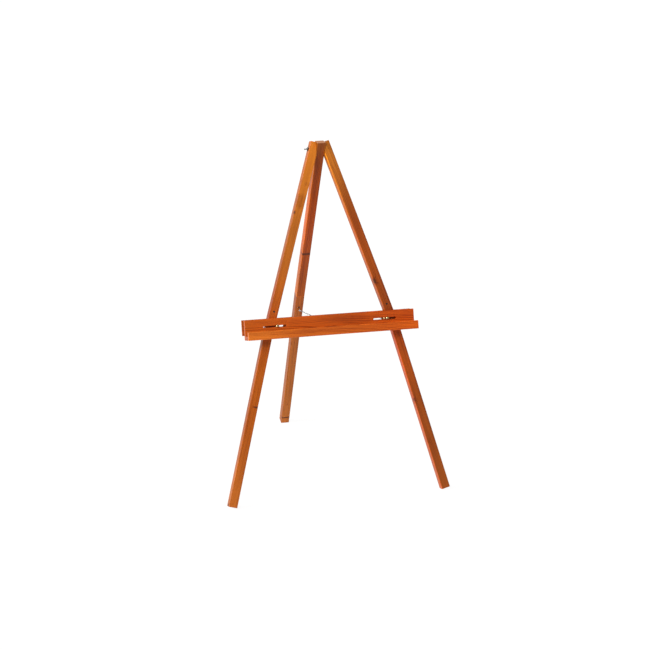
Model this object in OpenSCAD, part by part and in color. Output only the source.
// Wooden artist easel: a splayed front frame of two legs, a folding rear leg on one
// pivot bolt, and a lipped tray clamped to the front legs by two slotted boards.
// The origin is on the floor at the middle of the footprint, +Z up, the front towards -Y.

/* [Legs] */
// Width of every square leg across its front face
leg_w = 38; // [34:0.5:44]
// Thickness of every square leg from front to back
leg_t = 38; // [34:0.5:44]
// Rounding of the long edges of the legs
leg_edge_r = 2.5; // [1:0.5:4]
// Height of the pivot bolt above the floor
pivot_h = 1467; // [1380:1:1560]
// Height of the front legs' sawn tops above the pivot bolt
apex_h = 38; // [30:1:45]
// Clear side gap between the rear leg and each front leg at the top
apex_gap = 0.5; // [0.3:0.1:1]

/* [Front legs] */
// Backward lean of the upper sections
upper_lean = 17.9; // [15:0.1:19]
// Sideways splay of the upper sections
upper_splay = 17.9; // [15:0.1:19]
// Backward lean of the lower sections
lower_lean = 15.2; // [13:0.1:17]
// Sideways splay of the lower sections
lower_splay = 15.1; // [13:0.1:17]
// Distance of each leg's centre line from the middle at the pivot
leg_pivot_x = 30.6; // [28:0.1:34]
// Length of the upper section below the pivot
upper_len = 830; // [810:1:850]

/* [Rear leg] */
// Lean of the upper section
rear_upper_lean = 20.6; // [18:0.1:22]
// Lean of the lower section
rear_lower_lean = 18.4; // [16:0.1:20]
// Length of the upper section below the pivot
rear_upper_len = 807; // [790:1:820]
// Height of the rear leg's level-sawn top above the pivot bolt
rear_apex_h = 33; // [26:1:40]

/* [Leg joints] */
// Diameter of the dowel that joins the two sections of a leg
dowel_d = 18; // [14:1:20]
// Length of that dowel
dowel_len = 240; // [230:5:260]
// Distance of the front cross screws above the seam
front_screw_up = 103; // [80:1:110]
// Distance of the rear cross screw below the seam
rear_screw_down = 61; // [45:1:62]

/* [Tray] */
// Length of the tray boards
tray_len = 760; // [740:2:800]
// Sideways place of the tray's middle
tray_x = -12; // [-14:1:4]
// Distance of the tray's top edge below the pivot, along the legs
tray_down = 720; // [700:1:722]
// Height of the back board
board_h = 86.5; // [84:0.5:90]
// Thickness of the back board, the shelf and the lip
board_t = 18; // [16:0.5:20]
// Depth of the open channel between the back board and the lip
channel_w = 42; // [36:1:48]
// Height of the lip
lip_h = 36; // [32:1:42]
// Height of the clamp batten behind the legs
batten_h = 68; // [60:1:69]
// Thickness of the clamp batten
batten_t = 8; // [6:0.5:10]
// Clear gap between the boards and the legs
slide_gap = 0.3; // [0.3:0.1:0.6]

/* [Clamp bolts] */
// Length of the slots
slot_len = 103; // [98:1:110]
// Height of the slots
slot_h = 8; // [7.5:0.5:9]
// Distance of each slot's middle from the tray's middle
slot_x = 246.7; // [240:0.1:252]
// Distance of the slots below the boards' top edge
slot_down = 34.6; // [32:0.1:38]
// Distance of the clamp bolts from the middle
clamp_x = 247.5; // [246:0.1:247.5]
// Diameter of the clamp bolts
clamp_d = 6; // [5:0.5:6]

/* [Pivot bolt and stay] */
// Diameter of the pivot bolt
pivot_d = 8; // [6:0.5:10]
// Distance of the bolt's end from the middle
pivot_end_x = 69; // [64:1:74]
// Distance of the rear screw eye below the seam of the rear leg
rear_eye_down = 71; // [70:1:78]
// Distance of the batten's screw eye below the batten's top edge
front_eye_down = 42; // [40:1:50]
// Width over the links of the stay chain
chain_w = 6; // [5:0.5:8]

/* [Hidden] */
$fn = 48;
BIG = 400;
FIT = 0.05;

pine = [0.72, 0.36, 0.11];
rear_pine = [0.60, 0.29, 0.09];
tray_pine = [0.68, 0.28, 0.10];
beech = [0.80, 0.62, 0.42];
zinc = [0.72, 0.73, 0.74];
dark_steel = [0.32, 0.30, 0.28];
brass = [0.80, 0.66, 0.36];

// Angles of the seam planes, half-way between the two sections
seam_lean = (upper_lean + lower_lean) / 2;
seam_splay = (upper_splay + lower_splay) / 2;
rear_seam_lean = (rear_upper_lean + rear_lower_lean) / 2;

// Front leg seam, as the front face's middle, measured from the pivot
seam_x = leg_pivot_x + upper_len * sin(upper_splay);
seam_y = -leg_t / 2 * cos(upper_lean) - upper_len * cos(upper_splay) * sin(upper_lean);
seam_z = pivot_h + leg_t / 2 * sin(upper_lean) - upper_len * cos(upper_splay) * cos(upper_lean);

// Depth of the lowest corner of a square-cut front foot below its front face's middle
foot_side_z = sin(lower_splay) * cos(lower_lean);
foot_back_z = sin(lower_lean);
foot_drop = (leg_w / 2 - leg_edge_r) * foot_side_z + (leg_t - leg_edge_r) * foot_back_z
    + leg_edge_r * norm([foot_side_z, foot_back_z]);
lower_len = (seam_z - foot_drop) / (cos(lower_splay) * cos(lower_lean));
toe_y = seam_y - lower_len * cos(lower_splay) * sin(lower_lean)
    - (leg_w / 2 - leg_edge_r) * sin(lower_splay) * sin(lower_lean);

// Rear leg seam, as the front face's middle, measured from the pivot
rear_seam_y = rear_upper_len * sin(rear_upper_lean) - leg_t / 2 * cos(rear_upper_lean);
rear_seam_z = pivot_h - rear_upper_len * cos(rear_upper_lean) - leg_t / 2 * sin(rear_upper_lean);
rear_lower_len = rear_seam_z / cos(rear_lower_lean);
heel_y = rear_seam_y + rear_lower_len * sin(rear_lower_lean) + leg_t * cos(rear_lower_lean);

// Length of a square-cut front leg above the pivot, whose outer corner reaches the apex height
overhang = (apex_h - leg_t / 2 * sin(upper_lean) - leg_w / 2 * sin(upper_splay) * cos(upper_lean))
    / (cos(upper_splay) * cos(upper_lean));

// The pivot stands so that the footprint is centred on the origin
pivot_y = -(toe_y + heel_y) / 2;

// Tray sizes and places across the front plane, counted back from the legs' front faces
board_back = -slide_gap;
board_front = board_back - board_t;
lip_back = board_front - channel_w;
lip_front = lip_back - board_t;
batten_front = leg_t + slide_gap;
batten_back = batten_front + batten_t;
tray_top = -tray_down;
tray_foot = tray_top - board_h;
slot_v = tray_top - slot_down;

// Small hardware
screw_r = 2;
screw_head_r = 4;
screw_head_h = 2.2;
screw_sink = 0.8;
cross_screw_len = 26;
shelf_screw_len = 40;
shelf_screw_x = [-330, -110, 110, 330];
lip_dowel_r = 4;
lip_dowel_len = 24;
lip_dowel_x = [-300, -100, 100, 300];
head_r = 7;
head_h = 3.6;
neck_h = 3.5;
washer_t = 1.5;
clamp_washer_r = 9;
wing_hub_h = 7.5;
clamp_tail = 4;
wing_span = 15;
wing_rise = 12;
pivot_washer_r = 9;
spot_depth = 3.5;
spot_r = pivot_washer_r + 0.5;
spot_x = leg_pivot_x + leg_w / 2 / cos(upper_splay) - spot_depth;
pivot_nut_h = 6.5;
pivot_head_r = 8.5;
pivot_head_h = 5;
eye_wire_r = 1.4;
eye_ring_r = 5;
eye_reach = 9;
eye_screw_len = 7;
eye_clear = eye_ring_r + eye_wire_r + 0.5;

// Places of the two eye rings, in the world
front_eye = plane_point(0, batten_back + eye_reach, tray_top - front_eye_down);
rear_eye = [0,
    pivot_y + rear_seam_y + rear_eye_down * sin(rear_lower_lean) - eye_reach * cos(rear_lower_lean),
    rear_seam_z - rear_eye_down * cos(rear_lower_lean) - eye_reach * sin(rear_lower_lean)];
stay = rear_eye - front_eye;
stay_len = norm(stay);
// Distance from the batten's eye to the end of the hook that the chain hangs on
hook_len = 14;

// World place of a point given across, back from the legs' front faces, and up the front plane
function plane_point(x, back, up) = [x,
    pivot_y + (back - leg_t / 2) * cos(upper_lean) + up * sin(upper_lean),
    pivot_h - (back - leg_t / 2) * sin(upper_lean) + up * cos(upper_lean)];

// ---- shapes used again and again ----

module round_rect(w, h, r) {
    for (x = [r, w - r], y = [r, h - r]) translate([x, y]) circle(r);
    translate([r, 0]) square([w - 2 * r, h]);
    translate([0, r]) square([w, h - 2 * r]);
}

// Square leg timber with rounded long edges, front face at y = 0
module leg_bar(low, high) {
    translate([-leg_w / 2, 0, low]) linear_extrude(high - low) round_rect(leg_w, leg_t, leg_edge_r);
}

// Board along X with rounded long edges, from back to front and up
module tray_bar(front, back, low, high, edge_r) {
    translate([-tray_len / 2, front, low]) rotate([90, 0, 90])
        linear_extrude(tray_len) round_rect(back - front, high - low, edge_r);
}

// Stadium-ended slot through a board, centred, along X
module slot_cut(front, back) {
    half = (slot_len - slot_h) / 2;
    translate([-half, front - 1, -slot_h / 2]) cube([2 * half, back - front + 2, slot_h]);
    for (x = [-half, half])
        translate([x, front - 1, 0]) rotate([-90, 0, 0]) cylinder(r = slot_h / 2, h = back - front + 2);
}

module board_slots(front, back) {
    for (side = [-1, 1]) translate([side * slot_x, 0, slot_v]) slot_cut(front, back);
}

// Countersunk cross-head screw along +Y, its sunk head at y = 0
module wood_screw(len) {
    rotate([-90, 0, 0]) difference() {
        union() {
            translate([0, 0, screw_sink]) cylinder(r1 = screw_head_r, r2 = screw_r, h = screw_head_h);
            translate([0, 0, screw_sink]) cylinder(r = screw_r, h = len - screw_sink);
        }
        for (turn = [0, 90]) rotate(turn) translate([-2.2, -0.4, 0]) cube([4.4, 0.8, 2]);
    }
}

module screw_hole(len) {
    rotate([-90, 0, 0]) {
        translate([0, 0, -1]) cylinder(r = screw_head_r + FIT, h = 1 + screw_sink);
        translate([0, 0, screw_sink]) cylinder(r1 = screw_head_r + FIT, r2 = screw_r + FIT, h = screw_head_h);
        cylinder(r = screw_r + FIT, h = len + 0.5);
    }
}

// Screw eye along +Y, its wire ring around the origin in the YZ plane
module screw_eye() {
    rotate([0, 90, 0]) rotate_extrude() translate([eye_ring_r, 0]) circle(eye_wire_r, $fn = 24);
    translate([0, eye_ring_r, 0]) rotate([-90, 0, 0])
        cylinder(r = eye_wire_r, h = eye_reach - eye_ring_r + eye_screw_len);
}

module eye_hole() {
    translate([0, eye_reach - 1, 0]) rotate([-90, 0, 0])
        cylinder(r = eye_wire_r + FIT, h = eye_screw_len + 1.5);
}

// ---- frames that the pieces are drawn in ----

// Plane of the upper front legs: x across, y back from the front faces, z up from the pivot
module front_plane() {
    translate([0, pivot_y, pivot_h]) rotate([-upper_lean, 0, 0]) translate([0, -leg_t / 2, 0]) children();
}

module mirror_left(left) {
    if (left) mirror([1, 0, 0]) children();
    else children();
}

module upper_leg_frame() {
    front_plane() translate([leg_pivot_x, 0, 0]) rotate([0, -upper_splay, 0]) children();
}

// Frame at the front face's middle of the seam, turned to the given lean and splay
module seam_frame(lean, splay) {
    translate([seam_x, pivot_y + seam_y, seam_z]) rotate([-lean, 0, 0]) rotate([0, -splay, 0]) children();
}

module rear_frame() {
    translate([0, pivot_y, pivot_h]) rotate([rear_upper_lean, 0, 0]) translate([0, -leg_t / 2, 0]) children();
}

module rear_seam_frame(lean) {
    translate([0, pivot_y + rear_seam_y, rear_seam_z]) rotate([lean, 0, 0]) children();
}

module tray_frame() {
    front_plane() translate([tray_x, 0, 0]) children();
}

module above(sign) {
    translate([-BIG / 2, -BIG / 2, sign > 0 ? 0 : -BIG]) cube(BIG);
}

module dowel_bore() {
    translate([0, leg_t / 2, -dowel_len / 2 - 1]) cylinder(r = dowel_d / 2 + FIT, h = dowel_len + 2);
}

// ---- front frame ----

module upper_leg() {
    difference() {
        upper_leg_frame() leg_bar(-upper_len - 10, overhang);
        seam_frame(seam_lean, seam_splay) above(-1);
        seam_frame(seam_lean, seam_splay) dowel_bore();
        upper_leg_frame() translate([0, 0, front_screw_up - upper_len]) screw_hole(cross_screw_len);
        // Mitred cheek that bears on the rear leg
        translate([-BIG, pivot_y - BIG / 2, pivot_h - BIG / 2])
            cube([BIG + leg_w / 2 + apex_gap, BIG, BIG]);
        translate([0, pivot_y, pivot_h]) rotate([0, 90, 0]) cylinder(r = pivot_d / 2 + FIT, h = BIG);
        translate([spot_x, pivot_y, pivot_h]) rotate([0, 90, 0]) cylinder(r = spot_r, h = 20);
    }
}

module lower_leg() {
    difference() {
        seam_frame(lower_lean, lower_splay) leg_bar(-lower_len, 10);
        seam_frame(seam_lean, seam_splay) above(1);
        seam_frame(seam_lean, seam_splay) dowel_bore();
    }
}

module leg_dowel() {
    translate([0, leg_t / 2, -dowel_len / 2]) cylinder(r = dowel_d / 2, h = dowel_len);
}

module front_dowel() {
    difference() {
        seam_frame(seam_lean, seam_splay) leg_dowel();
        upper_leg_frame() translate([0, 0, front_screw_up - upper_len]) screw_hole(cross_screw_len);
    }
}

module dowel_screw() {
    upper_leg_frame() translate([0, 0, front_screw_up - upper_len]) wood_screw(cross_screw_len);
}

module left_upper_leg() {
    color(pine) mirror_left(true) upper_leg();
}

module right_upper_leg() {
    color(pine) upper_leg();
}

module left_lower_leg() {
    color(pine) mirror_left(true) lower_leg();
}

module right_lower_leg() {
    color(pine) lower_leg();
}

module left_leg_dowel() {
    color(beech) mirror_left(true) front_dowel();
}

module right_leg_dowel() {
    color(beech) front_dowel();
}

module left_dowel_screw() {
    color(dark_steel) mirror_left(true) dowel_screw();
}

module right_dowel_screw() {
    color(dark_steel) dowel_screw();
}

// Coach bolt with a low domed head on the right and its nut on the left
module pivot_bolt() {
    seat_x = spot_x + washer_t;
    dome_r = (pow(pivot_head_r, 2) + pow(pivot_head_h, 2)) / (2 * pivot_head_h);
    color(zinc) translate([0, pivot_y, pivot_h]) {
        translate([-pivot_end_x, 0, 0]) rotate([0, 90, 0]) cylinder(r = pivot_d / 2, h = pivot_end_x + seat_x);
        translate([seat_x, 0, 0]) intersection() {
            translate([pivot_head_h - dome_r, 0, 0]) sphere(dome_r);
            rotate([0, 90, 0]) cylinder(r = pivot_head_r + 1, h = pivot_head_h + 1);
        }
    }
}

module pivot_nut() {
    color(dark_steel) translate([-spot_x - washer_t - pivot_nut_h, pivot_y, pivot_h]) rotate([0, 90, 0])
        difference() {
            cylinder(r = 7.5, h = pivot_nut_h, $fn = 6);
            translate([0, 0, -1]) cylinder(r = pivot_d / 2 + FIT, h = pivot_nut_h + 2);
        }
}

module pivot_washers() {
    color(zinc) for (x = [-spot_x - washer_t, spot_x])
        translate([x, pivot_y, pivot_h]) rotate([0, 90, 0]) difference() {
            cylinder(r = pivot_washer_r, h = washer_t);
            translate([0, 0, -1]) cylinder(r = pivot_d / 2 + FIT, h = washer_t + 2);
        }
}

// ---- rear leg ----

module rear_upper_leg() {
    color(rear_pine) difference() {
        rear_frame() leg_bar(-rear_upper_len - 10, BIG / 4);
        rear_seam_frame(rear_seam_lean) above(-1);
        rear_seam_frame(rear_seam_lean) dowel_bore();
        translate([-BIG / 2, pivot_y - BIG / 2, pivot_h + rear_apex_h]) cube(BIG);
        translate([-BIG / 2, pivot_y, pivot_h]) rotate([0, 90, 0]) cylinder(r = pivot_d / 2 + FIT, h = BIG);
    }
}

module rear_lower_leg() {
    color(rear_pine) difference() {
        rear_seam_frame(rear_lower_lean) leg_bar(-rear_lower_len, 10);
        rear_seam_frame(rear_seam_lean) above(1);
        rear_seam_frame(rear_seam_lean) dowel_bore();
        rear_seam_frame(rear_lower_lean) translate([0, 0, -rear_screw_down]) screw_hole(cross_screw_len);
        rear_seam_frame(rear_lower_lean) translate([0, -eye_reach, -rear_eye_down]) eye_hole();
    }
}

module rear_leg_dowel() {
    color(beech) difference() {
        rear_seam_frame(rear_seam_lean) leg_dowel();
        rear_seam_frame(rear_lower_lean) translate([0, 0, -rear_screw_down]) screw_hole(cross_screw_len);
    }
}

module rear_dowel_screw() {
    color(dark_steel) rear_seam_frame(rear_lower_lean)
        translate([0, 0, -rear_screw_down]) wood_screw(cross_screw_len);
}

module rear_screw_eye() {
    color(zinc) rear_seam_frame(rear_lower_lean) translate([0, -eye_reach, -rear_eye_down]) screw_eye();
}

// ---- clamp batten and stay chain ----

module clamp_batten() {
    color(tray_pine) difference() {
        tray_frame() difference() {
            tray_bar(batten_front, batten_back, tray_top - batten_h, tray_top, 1.5);
            board_slots(batten_front, batten_back);
        }
        batten_eye_frame() eye_hole();
    }
}

// The eye is screwed in from behind, so its frame is turned about
module batten_eye_frame() {
    front_plane() translate([0, batten_back + eye_reach, tray_top - front_eye_down]) rotate(180) children();
}

module batten_screw_eye() {
    color(zinc) batten_eye_frame() screw_eye();
}

module along_stay() {
    translate(front_eye) rotate([90 + atan2(stay[2], stay[1]), 0, 0]) rotate([180, 0, 0]) children();
}

// Plain hook that hangs the chain on the batten's eye
module chain_hook() {
    color(zinc) along_stay() translate([0, 0, eye_clear])
        cylinder(r = chain_w / 2, h = hook_len - eye_clear);
}

module stay_chain() {
    color(zinc) along_stay() translate([0, 0, hook_len])
        cylinder(r = chain_w / 2, h = stay_len - hook_len - eye_clear);
}

// ---- tray ----

module shelf_screw_holes() {
    for (x = shelf_screw_x)
        translate([x, board_back, tray_foot + board_t / 2]) rotate(180) screw_hole(shelf_screw_len);
}

module lip_dowel_pegs(r, len) {
    for (x = lip_dowel_x) translate([x, lip_back - len / 2, tray_foot + board_t / 2])
        rotate([-90, 0, 0]) cylinder(r = r, h = len);
}

module tray_back_board() {
    color(tray_pine) tray_frame() difference() {
        tray_bar(board_front, board_back, tray_foot, tray_top, 2);
        board_slots(board_front, board_back);
        shelf_screw_holes();
    }
}

module tray_shelf() {
    color(tray_pine) tray_frame() difference() {
        translate([-tray_len / 2, lip_back, tray_foot]) cube([tray_len, channel_w, board_t]);
        shelf_screw_holes();
        lip_dowel_pegs(lip_dowel_r + FIT, lip_dowel_len + 1);
    }
}

module tray_lip() {
    color(tray_pine) tray_frame() difference() {
        tray_bar(lip_front, lip_back, tray_foot, tray_foot + lip_h, 3);
        lip_dowel_pegs(lip_dowel_r + FIT, lip_dowel_len + 1);
    }
}

module shelf_screws() {
    color(dark_steel) tray_frame() for (x = shelf_screw_x)
        translate([x, board_back, tray_foot + board_t / 2]) rotate(180) wood_screw(shelf_screw_len);
}

module lip_dowels() {
    color(beech) tray_frame() lip_dowel_pegs(lip_dowel_r, lip_dowel_len);
}

// ---- clamp bolts ----

module clamp_frame() {
    front_plane() translate([clamp_x, 0, slot_v]) children();
}

// Mushroom-headed bolt with a square neck, from the tray's face to behind the batten
module clamp_bolt() {
    face = board_front - slide_gap;
    dome_r = (head_r * head_r + head_h * head_h) / (2 * head_h);
    tip = batten_back + slide_gap + washer_t + wing_hub_h + clamp_tail;
    clamp_frame() {
        intersection() {
            translate([0, face - head_h + dome_r, 0]) sphere(dome_r);
            translate([0, face - head_h - 1, 0]) rotate([-90, 0, 0]) cylinder(r = head_r + 1, h = head_h + 1);
        }
        translate([-clamp_d / 2, face, -clamp_d / 2]) cube([clamp_d, neck_h, clamp_d]);
        translate([0, face, 0]) rotate([-90, 0, 0]) cylinder(r = clamp_d / 2, h = tip - face);
    }
}

module clamp_washer() {
    clamp_frame() translate([0, batten_back + slide_gap, 0]) rotate([-90, 0, 0]) difference() {
        cylinder(r = clamp_washer_r, h = washer_t);
        translate([0, 0, -1]) cylinder(r = clamp_d / 2 + FIT, h = washer_t + 2);
    }
}

module wing() {
    hull() {
        translate([3.5, 0, 1.2]) rotate([90, 0, 0]) cylinder(r = 1.2, h = 2.6, center = true, $fn = 16);
        translate([3.5, 0, 5]) rotate([90, 0, 0]) cylinder(r = 1.2, h = 2.6, center = true, $fn = 16);
        translate([wing_span - 4, 0, wing_rise - 4]) rotate([90, 0, 0])
            cylinder(r = 4, h = 2, center = true, $fn = 32);
    }
}

// Wing nut: a tapered hub with two raised ears
module wing_nut() {
    clamp_frame() translate([0, batten_back + 2 * slide_gap + washer_t, 0]) rotate([-90, 0, 0]) difference() {
        union() {
            cylinder(r1 = 5.4, r2 = 4.6, h = wing_hub_h);
            for (turn = [0, 180]) rotate(turn) wing();
        }
        translate([0, 0, -1]) cylinder(r = clamp_d / 2 + FIT, h = wing_rise + 2);
    }
}

module left_clamp_bolt() {
    color(brass) mirror_left(true) clamp_bolt();
}

module right_clamp_bolt() {
    color(brass) clamp_bolt();
}

module left_clamp_washer() {
    color(zinc) mirror_left(true) clamp_washer();
}

module right_clamp_washer() {
    color(zinc) clamp_washer();
}

module left_wing_nut() {
    color(brass) mirror_left(true) wing_nut();
}

module right_wing_nut() {
    color(brass) wing_nut();
}

left_upper_leg();
right_upper_leg();
left_lower_leg();
right_lower_leg();
left_leg_dowel();
right_leg_dowel();
left_dowel_screw();
right_dowel_screw();
pivot_bolt();
pivot_nut();
pivot_washers();
rear_upper_leg();
rear_lower_leg();
rear_leg_dowel();
rear_dowel_screw();
rear_screw_eye();
clamp_batten();
batten_screw_eye();
chain_hook();
stay_chain();
tray_back_board();
tray_shelf();
tray_lip();
shelf_screws();
lip_dowels();
left_clamp_bolt();
right_clamp_bolt();
left_clamp_washer();
right_clamp_washer();
left_wing_nut();
right_wing_nut();
